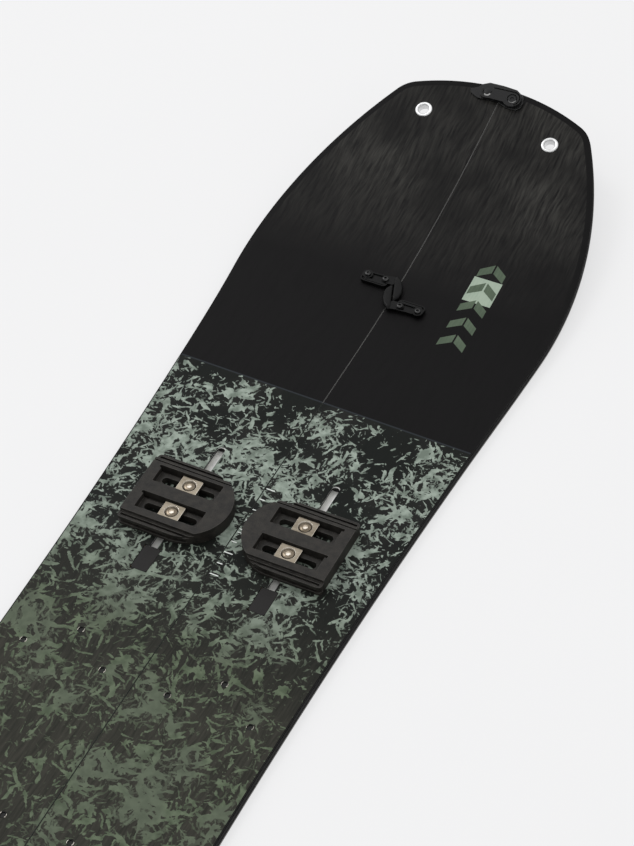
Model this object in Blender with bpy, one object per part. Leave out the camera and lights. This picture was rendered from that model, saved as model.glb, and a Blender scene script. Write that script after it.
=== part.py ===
"""Splitboard: a snowboard in two halves, joined by hooks and tip clips, with four pucks.

Units are metres. +Y points to the nose, +X to the right half, +Z up, and the seam lies on
X = 0. Every piece is first made flat, with its length measured from the board's waist and its
height from the base plane. finish() then bends it up with the nose and tail, and moves it so
that the middle of the board's length is on Y = 0.
"""
import math

import bmesh
import bpy
from mathutils import Vector

# Fits
GAP = 0.0003                # air left between pieces that touch
SEAM_HALF = 0.0003          # half of the slit between the two skis
BELOW, ABOVE = -0.010, 0.020        # heights from which and to which a through cut runs
SMOOTH_ANGLE = math.radians(35.0)   # round faces are shaded smooth up to this angle

# Outline of the whole board
WAIST_HALF = 0.1285
WAIST_Y = -0.0182           # the waist sits a little behind the middle
NOSE_TIP = 0.789            # from the waist to the nose, along the base
TAIL_TIP = 0.751
NOSE_SIDECUT = 6.33         # radius of the sidecut, front half
TAIL_SIDECUT = 7.40
SIDECUT_BACK = 0.271        # from the tip back to where the sidecut ends
SIDE_RADIUS = 0.423
CORNER_RADIUS = 0.030
FRONT_RADIUS = 0.208
TOPSHEET_INSET = 0.0006
SIDEWALL_INSET = 0.0003

# Thickness, from the base up
THICKNESS = 0.0086
BASE_THICKNESS = 0.0012
TOPSHEET_THICKNESS = 0.0008
TIP_TAPER = 0.75            # thickness at the tips against the middle
EDGE_WIDTH = 0.0022
EDGE_HEIGHT = 0.0020
SIDEWALL_WIDTH = 0.0060
CORE_BOTTOM = BASE_THICKNESS + GAP
CORE_TOP = THICKNESS - TOPSHEET_THICKNESS - GAP

# Rocker: the tips rise in short straight lengths along an arc
ROCKER_BACK = 0.345         # from the tip back to where the rocker starts
ROCKER_LENGTHS = (0.034, 0.035, 0.050, 0.041, 0.041, 0.041, 0.041, 0.033, 0.038)
NOSE_ROCKER = 1.060
TAIL_ROCKER = 1.250
PAD_END = 0.150             # the clear deck between the stations is a face of its own

# Grommets for a climbing skin
GROMMET_X = 0.0635
GROMMET_BACK = 0.045        # from the tip
GROMMET_HOLE = 0.0050
GROMMET_TUBE = 0.0059
GROMMET_BOTTOM = 0.0005
GROMMET_FLANGE = 0.0074
GROMMET_FLANGE_HEIGHT = 0.0008
GROMMET_FLANGE_CUT = 0.0004

# Board hooks
HOOK_BACK = 0.2507          # from the tip
HOOK_LEAN = math.radians(20.0)      # groove between the two fingers, from the seam
HOOK_TOP = 0.0049                   # heights over the deck
HOOK_FINGER_UNDER = 0.0026
HOOK_SCREWS = ((-0.0300, 0.0120), (-0.0126, 0.0120))
HOOK_SCREW_RADIUS = 0.0030
HOOK_SCREW_HEIGHT = 0.0012

# Tip clips
CLIP_BACK = 0.0115                  # from the tip
CLIP_REACH = 0.0125                 # from the seam to the pivot, and to the stud
CLIP_BASE_THICKNESS = 0.0015
LATCH_UNDER = 0.0021
LATCH_TOP = 0.0056
LATCH_PIVOT_RADIUS = 0.0086
LATCH_JAW_RADIUS = 0.0066
JAW_OUTER_LEAN = math.radians(30.0)     # walls of the jaw's mouth, from straight ahead
JAW_INNER_LEAN = math.radians(12.0)
JAW_INNER_LENGTH = 0.0074
STUD_RADIUS = 0.0026
STUD_TOP = 0.0050
PIVOT_HEAD_RADIUS = 0.0044
PIVOT_HEAD_UNDER = 0.0043
PIVOT_TOP = 0.0053

# Binding stations
STATION_X = 0.054
STATION_Y = 0.247
SCREW_SPACING = 0.0304
CHANNEL_REAR = -0.047               # along the board, from the middle of the station
CHANNEL_FRONT = 0.073
PLUG_REAR = -0.073
PLUG_HALF_WIDTH = 0.0075
RAIL_HALF_WIDTH = 0.0080
RAIL_FLOOR = 0.0010
RAIL_LIP = 0.0016
RAIL_CAVITY_HALF = 0.0060
SLOT_HALF = 0.0036
NUT_HALF_LENGTH = 0.022
NUT_PLAY = 0.0004
SCREW_RADIUS = 0.0028
SCREW_HEAD_RADIUS = 0.0050
SCREW_HEAD_EDGE = 0.0006
SCREW_SOCKET = (0.0023, 0.0018)     # radius and depth
WASHER_SIZE = (0.0190, 0.0160)
WASHER_THICKNESS = 0.0032
WASHER_SEAT_EDGE = 0.0009
PLUG_CORNER = 0.0015

# Pucks
PUCK_OUTER = 0.040                  # straight side, from the middle of the station
PUCK_ROUND_CENTRE = -0.009
PUCK_RADIUS = 0.037
PUCK_HEIGHT = 0.0127
PUCK_TOP_HALF = 0.030               # half length of the raised middle
PUCK_RAIL_HEIGHT = 0.0097
PUCK_GROOVE = (0.0338, 0.0016, 0.0022)      # place, width and depth of the groove beside it
PUCK_UNDERCUT = (0.0028, 0.0062)            # heights of the undercut below each lip
PUCK_UNDERCUT_DEPTH = 0.0035
PUCK_FLOOR = 0.0067
PUCK_POCKET = (0.058, 0.0174)
PUCK_POCKET_X = 0.001
PUCK_SLOT = (0.049, 0.0080)

DECK = THICKNESS
PUCK_BOTTOM = DECK + GAP
PUCK_TOP = DECK + GAP + PUCK_HEIGHT
WASHER_BOTTOM = DECK + PUCK_FLOOR + GAP * 2
WASHER_TOP = WASHER_BOTTOM + WASHER_THICKNESS

SIDES = {"left": -1, "right": 1}
ENDS = {"nose": 1, "tail": -1}
TIPS = {1: NOSE_TIP, -1: TAIL_TIP}


def clear_scene():
    for item in list(bpy.data.objects):
        bpy.data.objects.remove(item, do_unlink=True)


def make_material(name, colour, roughness, metallic):
    material = bpy.data.materials.new(name)
    material.use_nodes = True
    shader = material.node_tree.nodes["Principled BSDF"]
    shader.inputs["Base Color"].default_value = (*colour, 1.0)
    shader.inputs["Roughness"].default_value = roughness
    shader.inputs["Metallic"].default_value = metallic
    material.diffuse_color = (*colour, 1.0)
    return material


# ---------------------------------------------------------------- outlines

def arc(centre, radius, start, end, steps):
    """Points on an arc, both ends included."""
    turn = (end - start) / steps
    angles = [start + turn * i for i in range(steps + 1)]
    return [(centre[0] + radius * math.cos(a), centre[1] + radius * math.sin(a)) for a in angles]


def circle_meet(first, first_radius, second, second_radius):
    """Where two circles meet, on the side further along the board."""
    span = second - first
    along = (first_radius ** 2 - second_radius ** 2 + span.length ** 2) / (2 * span.length)
    across = math.sqrt(first_radius ** 2 - along ** 2)
    axis = span.normalized()
    return first + axis * along + Vector((axis.y, -axis.x)) * across


def angle_from(centre, point):
    return math.atan2(point[1] - centre[1], point[0] - centre[0])


def from_tip(end, back):
    """Distance along the base from the waist, measured back from the nose or the tail."""
    return end * (TIPS[end] - back)


def tip_outline(tip, sidecut, inset):
    """Right half of one tip, from the end of the sidecut round to the seam."""
    run = tip - SIDECUT_BACK
    lean = math.atan(run / sidecut)
    join = WAIST_HALF + run ** 2 / (2 * sidecut)
    side = Vector((join - SIDE_RADIUS * math.cos(lean), run + SIDE_RADIUS * math.sin(lean)))
    front = Vector((0.0, tip - FRONT_RADIUS))
    corner = circle_meet(front, FRONT_RADIUS - CORNER_RADIUS, side, SIDE_RADIUS - CORNER_RADIUS)
    side_end = angle_from(side, corner)
    front_start = angle_from(front, corner)
    front_end = math.acos((SEAM_HALF + inset) / (FRONT_RADIUS - inset))
    points = arc(side, SIDE_RADIUS - inset, -lean, side_end, 13)
    points += arc(corner, CORNER_RADIUS - inset, side_end, front_start, 4)[1:]
    points += arc(front, FRONT_RADIUS - inset, front_start, front_end, 5)[1:]
    return points


def ski_outline(side, inset):
    """Outline of one ski, drawn in from its true edge by inset."""
    nose = tip_outline(NOSE_TIP, NOSE_SIDECUT, inset)
    tail = [(x, -y) for x, y in reversed(tip_outline(TAIL_TIP, TAIL_SIDECUT, inset))]
    start, end = from_tip(-1, SIDECUT_BACK), from_tip(1, SIDECUT_BACK)
    steps = 10
    middle = []
    for i in range(1, steps):
        y = start + (end - start) * i / steps
        sidecut = NOSE_SIDECUT if y > 0 else TAIL_SIDECUT
        middle.append((WAIST_HALF + y * y / (2 * sidecut) - inset, y))
    points = tail + middle + nose
    if side < 0:
        points = [(-x, y) for x, y in reversed(points)]
    return points


def rectangle(centre, size):
    x, y = size[0] / 2, size[1] / 2
    corners = ((-x, -y), (x, -y), (x, y), (-x, y))
    return [(centre[0] + u, centre[1] + v) for u, v in corners]


def stadium(centre, size, steps=8):
    """A slot along X with round ends."""
    radius = size[1] / 2
    reach = size[0] / 2 - radius
    right = arc((centre[0] + reach, centre[1]), radius, -math.pi / 2, math.pi / 2, steps)
    left = arc((centre[0] - reach, centre[1]), radius, math.pi / 2, math.pi * 1.5, steps)
    return right + left


def turn_half(points):
    """The same points turned half a turn about the origin."""
    return [(-x, -y) for x, y in points]


def shift(points, x, y):
    return [(u + x, v + y) for u, v in points]


# ---------------------------------------------------------------- solids

def new_object(name, bm):
    bmesh.ops.recalc_face_normals(bm, faces=bm.faces)
    mesh = bpy.data.meshes.new(name)
    bm.to_mesh(mesh)
    bm.free()
    item = bpy.data.objects.new(name, mesh)
    bpy.context.scene.collection.objects.link(item)
    return item


def prism(name, outline, bottom, top):
    """An upright prism over a closed outline."""
    bm = bmesh.new()
    low = [bm.verts.new((x, y, bottom)) for x, y in outline]
    high = [bm.verts.new((x, y, top)) for x, y in outline]
    bm.faces.new(low[::-1])
    bm.faces.new(high)
    for i in range(len(outline)):
        bm.faces.new((low[i - 1], low[i], high[i], high[i - 1]))
    return new_object(name, bm)


def ring(name, outer, inner, bottom, top):
    """An upright wall between two outlines with the same number of points."""
    bm = bmesh.new()
    loops = []
    for outline, height in ((outer, bottom), (outer, top), (inner, top), (inner, bottom)):
        loops.append([bm.verts.new((x, y, height)) for x, y in outline])
    for k in range(4):
        first, second = loops[k - 1], loops[k]
        for i in range(len(outer)):
            bm.faces.new((first[i - 1], first[i], second[i], second[i - 1]))
    return new_object(name, bm)


def bar(name, section, x, start, end):
    """A straight bar along Y. The section is given as (x, z) points."""
    bm = bmesh.new()
    near = [bm.verts.new((x + u, start, w)) for u, w in section]
    far = [bm.verts.new((x + u, end, w)) for u, w in section]
    bm.faces.new(near)
    bm.faces.new(far[::-1])
    for i in range(len(section)):
        bm.faces.new((near[i - 1], near[i], far[i], far[i - 1]))
    return new_object(name, bm)


def turned(name, profile, x, y, steps=20):
    """A solid of revolution about an upright axis. The profile is (radius, z) points."""
    bm = bmesh.new()
    loops = []
    for radius, z in profile:
        if radius == 0:
            loops.append([bm.verts.new((x, y, z))] * steps)
            continue
        circle = arc((x, y), radius, 0, math.tau * (steps - 1) / steps, steps - 1)
        loops.append([bm.verts.new((u, v, z)) for u, v in circle])
    for k in range(len(loops)):
        first, second = loops[k - 1], loops[k]
        for i in range(steps):
            corners = (first[i - 1], first[i], second[i], second[i - 1])
            distinct = list(dict.fromkeys(corners))
            if len(distinct) > 2:
                bm.faces.new(distinct)
    return new_object(name, bm)


def disc(radius, bottom, top):
    """Profile of a plain cylinder, for turned()."""
    return ((0, bottom), (radius, bottom), (radius, top), (0, top))


def combine(item, others, operation):
    """Apply one exact Boolean for each of the other objects, and remove them."""
    for other in others:
        change = item.modifiers.new(operation, "BOOLEAN")
        change.operation = operation
        change.solver = "EXACT"
        change.object = other
    graph = bpy.context.evaluated_depsgraph_get()
    mesh = bpy.data.meshes.new_from_object(item.evaluated_get(graph))
    item.modifiers.clear()
    item.data = mesh
    for other in others:
        bpy.data.objects.remove(other, do_unlink=True)
    return item


# ---------------------------------------------------------------- rocker

def rocker_stations(end, radius):
    """Creases of one tip: place along the base, point, normal and thickness there."""
    start = TIPS[end] - ROCKER_BACK
    place, point, slope = start, Vector((start, 0.0)), 0.0
    total = sum(ROCKER_LENGTHS)
    stations = []
    for length in ROCKER_LENGTHS:
        next_slope = (place + length / 2 - start) / radius
        stations.append((place, point.copy(), (slope + next_slope) / 2, (next_slope - slope) / 2))
        slope = next_slope
        point += Vector((math.cos(slope), math.sin(slope))) * length
        place += length
    stations.append((place, point.copy(), slope, 0.0))
    result = []
    for place, point, angle, mitre in stations:
        normal = Vector((-math.sin(angle), math.cos(angle))) / math.cos(mitre)
        taper = 1 - (1 - TIP_TAPER) * (place - start) / total
        result.append((end * place, Vector((end * point.x, point.y)),
                       Vector((end * normal.x, normal.y)), taper))
    return result


def board_stations():
    tail = rocker_stations(-1, TAIL_ROCKER)
    return tail[::-1] + rocker_stations(1, NOSE_ROCKER)


STATIONS = board_stations()


def bend_point(point):
    """Carry a point of the flat board to its place on the board with rocker."""
    index = 0
    while index < len(STATIONS) - 2 and point.y > STATIONS[index + 1][0]:
        index += 1
    low, high = STATIONS[index], STATIONS[index + 1]
    part = (point.y - low[0]) / (high[0] - low[0])
    ends = []
    for place, base, normal, taper in (low, high):
        height = min(point.z, DECK) * taper + max(point.z - DECK, 0.0)
        ends.append(base + normal * height)
    spot = ends[0].lerp(ends[1], part)
    return Vector((point.x, spot.x + WAIST_Y, spot.y))


def crease(item):
    """Cut the faces of a long piece across, at the rocker and round the middle of the deck."""
    bm = bmesh.new()
    bm.from_mesh(item.data)
    places = [station[0] for station in STATIONS[1:-1]] + [-PAD_END, PAD_END]
    for place in places:
        geometry = bm.verts[:] + bm.edges[:] + bm.faces[:]
        bmesh.ops.bisect_plane(bm, geom=geometry, dist=1e-6,
                               plane_co=(0, place, 0), plane_no=(0, 1, 0))
    bm.to_mesh(item.data)
    bm.free()


def finish(item, material, smooth=False, origin=None):
    """Bend the piece with the board, give it its material and move its origin."""
    for vertex in item.data.vertices:
        vertex.co = bend_point(vertex.co)
    item.data.materials.clear()
    item.data.materials.append(material)
    if smooth:
        item.data.shade_smooth()
        item.data.set_sharp_from_angle(angle=SMOOTH_ANGLE)
    if origin is not None:
        centre = bend_point(Vector(origin))
        for vertex in item.data.vertices:
            vertex.co -= centre
        item.location = centre
    return item


# ---------------------------------------------------------------- skis

def grommet_cutters(side):
    profile = disc(GROMMET_TUBE + GAP, BELOW, ABOVE)
    return [turned("cutter", profile, side * GROMMET_X, from_tip(end, GROMMET_BACK), 16)
            for end in ENDS.values()]


def deck_slot_outline():
    """Opening in the topsheet: the channel's slot, run into the plug's seat."""
    seat = PLUG_HALF_WIDTH + GAP
    front = CHANNEL_FRONT - SLOT_HALF
    points = [(seat, PLUG_REAR - GAP), (seat, CHANNEL_REAR), (SLOT_HALF, CHANNEL_REAR)]
    points += arc((0.0, front), SLOT_HALF, 0.0, math.pi, 8)
    points += [(-SLOT_HALF, CHANNEL_REAR), (-seat, CHANNEL_REAR), (-seat, PLUG_REAR - GAP)]
    return points


def along_station(points, side, end):
    """Station outlines are drawn for the nose end, and mirrored for the tail end."""
    if end < 0:
        points = [(x, -y) for x, y in reversed(points)]
    return shift(points, side * STATION_X, end * STATION_Y)


def slot_cutters(side, outline):
    return [prism("cutter", along_station(outline, side, end), BELOW, ABOVE)
            for end in ENDS.values()]


def make_ski(name, side, materials):
    topsheet = prism(name + "_topsheet", ski_outline(side, TOPSHEET_INSET),
                     CORE_TOP + GAP, THICKNESS)
    combine(topsheet, grommet_cutters(side) + slot_cutters(side, deck_slot_outline()), "DIFFERENCE")

    pocket = [(-RAIL_HALF_WIDTH - GAP, PLUG_REAR - GAP), (RAIL_HALF_WIDTH + GAP, PLUG_REAR - GAP),
              (RAIL_HALF_WIDTH + GAP, CHANNEL_FRONT + GAP), (-RAIL_HALF_WIDTH - GAP, CHANNEL_FRONT + GAP)]
    core = prism(name + "_core", ski_outline(side, SIDEWALL_WIDTH + GAP), CORE_BOTTOM, CORE_TOP)
    combine(core, grommet_cutters(side) + slot_cutters(side, pocket), "DIFFERENCE")

    base = prism(name + "_base", ski_outline(side, EDGE_WIDTH + GAP), 0.0, BASE_THICKNESS)
    combine(base, grommet_cutters(side), "DIFFERENCE")

    sidewall = ring(name + "_sidewall", ski_outline(side, SIDEWALL_INSET), ski_outline(side, SIDEWALL_WIDTH),
                    EDGE_HEIGHT + GAP, CORE_TOP)
    edge = ring(name + "_steel_edge", ski_outline(side, 0.0), ski_outline(side, EDGE_WIDTH),
                0.0, EDGE_HEIGHT)
    layers = ((topsheet, "topsheet"), (core, "core"), (base, "base"),
              (sidewall, "sidewall"), (edge, "steel"))
    for item, material in layers:
        crease(item)
        finish(item, materials[material])


def make_grommet(name, x, y, materials):
    top = DECK + GAP
    rim = top + GROMMET_FLANGE_HEIGHT
    profile = ((GROMMET_HOLE, GROMMET_BOTTOM), (GROMMET_TUBE, GROMMET_BOTTOM), (GROMMET_TUBE, top),
               (GROMMET_FLANGE, top), (GROMMET_FLANGE - GROMMET_FLANGE_CUT, rim), (GROMMET_HOLE, rim))
    finish(turned(name, profile, x, y, 24), materials["aluminium"], smooth=True)


# ---------------------------------------------------------------- hooks

def hook_plate_outline():
    return [(-0.0350, 0.0062), (-0.0325, 0.0038), (-0.0090, 0.0038), (-0.0090, 0.0172),
            (-0.0200, 0.0157), (-0.0325, 0.0157), (-0.0350, 0.0130)]


def hook_outline():
    """Plate and leaf-shaped finger of the left hook, about the middle of the hook."""
    along = Vector((math.sin(HOOK_LEAN), -math.cos(HOOK_LEAN)))
    off = Vector((-along.y, along.x)) * GAP
    upper = off + along * (-0.0090 / math.cos(HOOK_LEAN))
    lower = off + along * (0.0068 / math.cos(HOOK_LEAN))
    finger = [tuple(upper), tuple(lower), (0.0046, -0.0080), (0.0080, -0.0045), (0.0080, 0.0025),
              (0.0058, 0.0090), (0.0012, 0.0160), (-0.0030, 0.0188)]
    plate = hook_plate_outline()
    return plate[:3] + [(-0.0090, 0.0090)] + finger + plate[3:]


def make_hook(name, side, y, materials):
    """One half of a board hook, with the heads of its two screws."""
    turn = turn_half if side > 0 else list
    full = shift(turn(hook_outline()), 0.0, y)
    foot = shift(turn(hook_plate_outline()), 0.0, y)
    hook = prism(name, full, DECK + HOOK_FINGER_UNDER, DECK + HOOK_TOP)
    added = [prism("foot", foot, DECK + GAP, DECK + HOOK_FINGER_UNDER + GAP)]
    for u, v in shift(turn(HOOK_SCREWS), 0.0, y):
        profile = disc(HOOK_SCREW_RADIUS, DECK + HOOK_TOP - GAP, DECK + HOOK_TOP + HOOK_SCREW_HEIGHT)
        added.append(turned("screw", profile, u, v, 16))
    combine(hook, added, "UNION")
    finish(hook, materials["hook"])


# ---------------------------------------------------------------- tip clips

def clip_base_outlines():
    """Stud side and pivot side of the nose clip's base plates, about the middle of the clip."""
    stud_side = [(-SEAM_HALF, -0.0056), (-SEAM_HALF, 0.0128), (-0.0150, 0.0122), (-0.0205, 0.0090),
                 (-0.0240, 0.0045), (-0.0300, 0.0010), (-0.0260, -0.0042), (-0.0200, -0.0066)]
    pivot_side = [(SEAM_HALF, 0.0128), (SEAM_HALF, -0.0056), (0.0080, -0.0085), (0.0190, -0.0085),
                  (0.0225, -0.0010), (0.0205, 0.0070), (0.0125, 0.0121)]
    return stud_side, pivot_side


def latch_outline():
    """Jaw round the stud, open to the tip of the board, joined to a hub round the pivot."""
    jaw = Vector((-CLIP_REACH, 0.0))
    radius = STUD_RADIUS + GAP
    outer = Vector((math.sin(-JAW_OUTER_LEAN), math.cos(JAW_OUTER_LEAN)))
    inner = Vector((math.sin(JAW_INNER_LEAN), math.cos(JAW_INNER_LEAN)))
    outer_lip = jaw + Vector((-outer.y, outer.x)) * radius
    outer_lip += outer * math.sqrt(LATCH_JAW_RADIUS ** 2 - radius ** 2)
    inner_lip = jaw + Vector((inner.y, -inner.x)) * radius + inner * JAW_INNER_LENGTH
    points = arc(jaw, LATCH_JAW_RADIUS, angle_from(jaw, outer_lip), math.radians(250), 8)
    points += arc((CLIP_REACH, 0.0), LATCH_PIVOT_RADIUS, math.radians(235), math.radians(445), 12)
    points.append(tuple(inner_lip))
    points += arc(jaw, radius, -JAW_INNER_LEAN, -math.pi + JAW_OUTER_LEAN, 8)
    return points


def make_clip(end_name, end, stud_half, pivot_half, materials):
    """Tip clip: a latch that turns on one half and hooks a stud on the other."""
    def placed(points):
        return shift(points if end > 0 else turn_half(points), 0.0, from_tip(end, CLIP_BACK))

    stud_plate, pivot_plate = clip_base_outlines()
    stud_spot, pivot_spot = placed([(-CLIP_REACH, 0.0), (CLIP_REACH, 0.0)])
    plate_bottom = DECK + GAP
    plate_top = plate_bottom + CLIP_BASE_THICKNESS
    bore = STUD_RADIUS + GAP
    for half, outline, spot in ((stud_half, stud_plate, stud_spot), (pivot_half, pivot_plate, pivot_spot)):
        plate = prism(end_name + "_clip_" + half + "_base", placed(outline), plate_bottom, plate_top)
        combine(plate, [turned("cutter", disc(bore, DECK - GAP, plate_top + GAP), *spot)], "DIFFERENCE")
        finish(plate, materials["clip_base"])

    stud = turned(end_name + "_clip_stud", disc(STUD_RADIUS, plate_bottom, DECK + STUD_TOP), *stud_spot)
    finish(stud, materials["steel"], smooth=True)

    profile = ((0, plate_bottom), (STUD_RADIUS, plate_bottom), (STUD_RADIUS, DECK + PIVOT_HEAD_UNDER),
               (PIVOT_HEAD_RADIUS, DECK + PIVOT_HEAD_UNDER), (PIVOT_HEAD_RADIUS, DECK + PIVOT_TOP),
               (0, DECK + PIVOT_TOP))
    finish(turned(end_name + "_clip_pivot", profile, *pivot_spot), materials["steel"], smooth=True)

    latch = prism(end_name + "_clip_latch", placed(latch_outline()), DECK + LATCH_UNDER, DECK + LATCH_TOP)
    seat = PIVOT_HEAD_RADIUS + GAP * 1.5
    step = DECK + PIVOT_HEAD_UNDER - GAP
    above = DECK + 2 * LATCH_TOP
    hole = ((0, DECK), (bore, DECK), (bore, step), (seat, step), (seat, above), (0, above))
    combine(latch, [turned("cutter", hole, *pivot_spot)], "DIFFERENCE")
    finish(latch, materials["clip"], origin=(*pivot_spot, DECK + LATCH_UNDER))


# ---------------------------------------------------------------- binding stations

def puck_outline():
    rounded = arc((PUCK_ROUND_CENTRE, 0.0), PUCK_RADIUS, math.pi / 2, math.pi * 1.5, 18)
    return rounded + [(PUCK_OUTER, -PUCK_RADIUS), (PUCK_OUTER, PUCK_RADIUS)]


def make_puck(name, side, x, y, materials):
    """D-shaped block with a lip along its nose and tail sides and two slotted pockets."""
    def mirrored(points):
        return shift(points if side > 0 else [(-u, v) for u, v in reversed(points)], x, y)

    puck = prism(name, mirrored(puck_outline()), PUCK_BOTTOM, PUCK_TOP)
    wide = 4 * PUCK_OUTER
    deep = PUCK_RADIUS
    rail_top = PUCK_BOTTOM + PUCK_RAIL_HEIGHT
    groove_place, groove_width, groove_depth = PUCK_GROOVE
    under_low, under_high = PUCK_UNDERCUT
    cutters = []

    def cut(outline, floor, ceiling):
        cutters.append(prism("cutter", mirrored(outline), floor, ceiling))

    for v in (-1, 1):
        pocket_middle = (PUCK_POCKET_X, v * SCREW_SPACING / 2)
        cut(rectangle((0, v * (PUCK_TOP_HALF + deep / 2)), (wide, deep)), rail_top, PUCK_TOP + GAP)
        cut(rectangle((0, v * groove_place), (wide, groove_width)), rail_top - groove_depth, PUCK_TOP)
        cut(rectangle((0, v * (PUCK_RADIUS - PUCK_UNDERCUT_DEPTH + deep / 2)), (wide, deep)),
            PUCK_BOTTOM + under_low, PUCK_BOTTOM + under_high)
        cut(rectangle(pocket_middle, PUCK_POCKET), DECK + PUCK_FLOOR + GAP, PUCK_TOP + GAP)
        cut(stadium(pocket_middle, PUCK_SLOT), DECK - GAP, PUCK_TOP)
    combine(puck, cutters, "DIFFERENCE")
    finish(puck, materials["puck"], origin=(x, y, PUCK_BOTTOM))


def make_rail(name, x, start, end, materials):
    lip = CORE_TOP - RAIL_LIP
    floor = CORE_BOTTOM + RAIL_FLOOR
    half = [(RAIL_HALF_WIDTH, CORE_BOTTOM), (RAIL_HALF_WIDTH, CORE_TOP), (SLOT_HALF, CORE_TOP),
            (SLOT_HALF, lip), (RAIL_CAVITY_HALF, lip), (RAIL_CAVITY_HALF, floor)]
    section = half + [(-u, w) for u, w in reversed(half)]
    finish(bar(name, section, x, start, end), materials["aluminium"])


def make_nut(name, x, y, materials):
    floor = CORE_BOTTOM + RAIL_FLOOR + GAP
    shoulder = CORE_TOP - RAIL_LIP - GAP
    flange, neck = RAIL_CAVITY_HALF - NUT_PLAY, SLOT_HALF - NUT_PLAY
    half = [(flange, floor), (flange, shoulder), (neck, shoulder), (neck, CORE_TOP - GAP)]
    section = half + [(-u, w) for u, w in reversed(half)]
    nut = bar(name, section, x, y - NUT_HALF_LENGTH, y + NUT_HALF_LENGTH)
    holes = [turned("cutter", disc(SCREW_RADIUS + GAP, 0, DECK), x, y + v * SCREW_SPACING / 2, 16)
             for v in (-1, 1)]
    combine(nut, holes, "DIFFERENCE")
    finish(nut, materials["steel"], origin=(x, y, floor))


def make_washer(name, x, y, materials):
    washer = prism(name, rectangle((x, y), WASHER_SIZE), WASHER_BOTTOM, WASHER_TOP)
    throat = SCREW_RADIUS + GAP * 1.5
    mouth = SCREW_HEAD_RADIUS + GAP * 1.5
    cone = ((0, WASHER_BOTTOM - GAP), (throat, WASHER_BOTTOM - GAP), (throat, WASHER_BOTTOM + GAP),
            (mouth, WASHER_TOP - WASHER_SEAT_EDGE), (mouth, WASHER_TOP + GAP), (0, WASHER_TOP + GAP))
    combine(washer, [turned("cutter", cone, x, y)], "DIFFERENCE")
    finish(washer, materials["nickel"], origin=(x, y, WASHER_BOTTOM))


def make_screw(name, x, y, materials):
    bottom = CORE_BOTTOM + RAIL_FLOOR + GAP * 3
    top = WASHER_TOP - GAP
    socket, depth = SCREW_SOCKET
    profile = ((0, top - depth), (socket, top - depth), (socket, top), (SCREW_HEAD_RADIUS, top),
               (SCREW_HEAD_RADIUS, WASHER_TOP - SCREW_HEAD_EDGE), (SCREW_RADIUS, WASHER_BOTTOM + GAP * 2),
               (SCREW_RADIUS, bottom), (0, bottom))
    finish(turned(name, profile, x, y), materials["chrome"], smooth=True, origin=(x, y, bottom))


def make_plug(name, side, end, materials):
    cut = PLUG_CORNER
    rear, front = PLUG_REAR, CHANNEL_REAR - GAP
    half = PLUG_HALF_WIDTH
    outline = [(-half, rear + cut), (-half + cut, rear), (half - cut, rear), (half, rear + cut),
               (half, front - cut), (half - cut, front), (-half + cut, front), (-half, front - cut)]
    plug = prism(name, along_station(outline, side, end), CORE_BOTTOM + GAP, DECK - GAP / 3)
    finish(plug, materials["plug"])


def make_station(name, side, end, materials):
    x, y = side * STATION_X, end * STATION_Y
    start, stop = sorted((end * (STATION_Y + CHANNEL_REAR), end * (STATION_Y + CHANNEL_FRONT)))
    make_rail(name + "_channel_rail", x, start, stop, materials)
    make_plug(name + "_channel_plug", side, end, materials)
    make_nut(name + "_slider_nut", x, y, materials)
    make_puck(name + "_puck", side, x, y, materials)
    for place, v in (("nose", 1), ("tail", -1)):
        spot = (x, y + v * SCREW_SPACING / 2)
        make_washer(name + "_" + place + "_washer", *spot, materials)
        make_screw(name + "_" + place + "_screw", *spot, materials)


# ---------------------------------------------------------------- assembly

def make_materials():
    """Colour, roughness and metallic value of each material."""
    table = {
        "topsheet": ((0.045, 0.060, 0.048), 0.45, 0.0),
        "core": ((0.55, 0.40, 0.22), 0.70, 0.0),
        "base": ((0.015, 0.015, 0.016), 0.35, 0.0),
        "sidewall": ((0.012, 0.012, 0.013), 0.50, 0.0),
        "steel": ((0.52, 0.52, 0.54), 0.32, 1.0),
        "aluminium": ((0.78, 0.79, 0.80), 0.30, 1.0),
        "nickel": ((0.70, 0.66, 0.60), 0.38, 1.0),
        "chrome": ((0.85, 0.85, 0.86), 0.15, 1.0),
        "puck": ((0.060, 0.060, 0.062), 0.60, 0.0),
        "plug": ((0.055, 0.058, 0.064), 0.55, 0.0),
        "hook": ((0.050, 0.050, 0.052), 0.42, 0.6),
        "clip": ((0.060, 0.060, 0.062), 0.50, 0.0),
        "clip_base": ((0.070, 0.070, 0.072), 0.50, 0.0),
    }
    return {name: make_material(name, *values) for name, values in table.items()}


def main():
    clear_scene()
    materials = make_materials()
    for half, side in SIDES.items():
        make_ski(half + "_ski", side, materials)
        for end_name, end in ENDS.items():
            grommet_y, hook_y = from_tip(end, GROMMET_BACK), from_tip(end, HOOK_BACK)
            make_grommet(half + "_" + end_name + "_grommet", side * GROMMET_X, grommet_y, materials)
            place = "front" if end > 0 else "rear"
            make_hook(place + "_hook_" + half, side, hook_y, materials)
            make_station(place + "_" + half, side, end, materials)
    make_clip("nose", ENDS["nose"], "left", "right", materials)
    make_clip("tail", ENDS["tail"], "right", "left", materials)


main()
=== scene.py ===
"""Splitboard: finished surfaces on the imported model, with a floor, lights and a camera.

Units are metres. +Y points to the nose, +X to the right half, +Z up.
"""
import math

import bmesh
import bpy
from mathutils import Matrix, Vector


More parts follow.
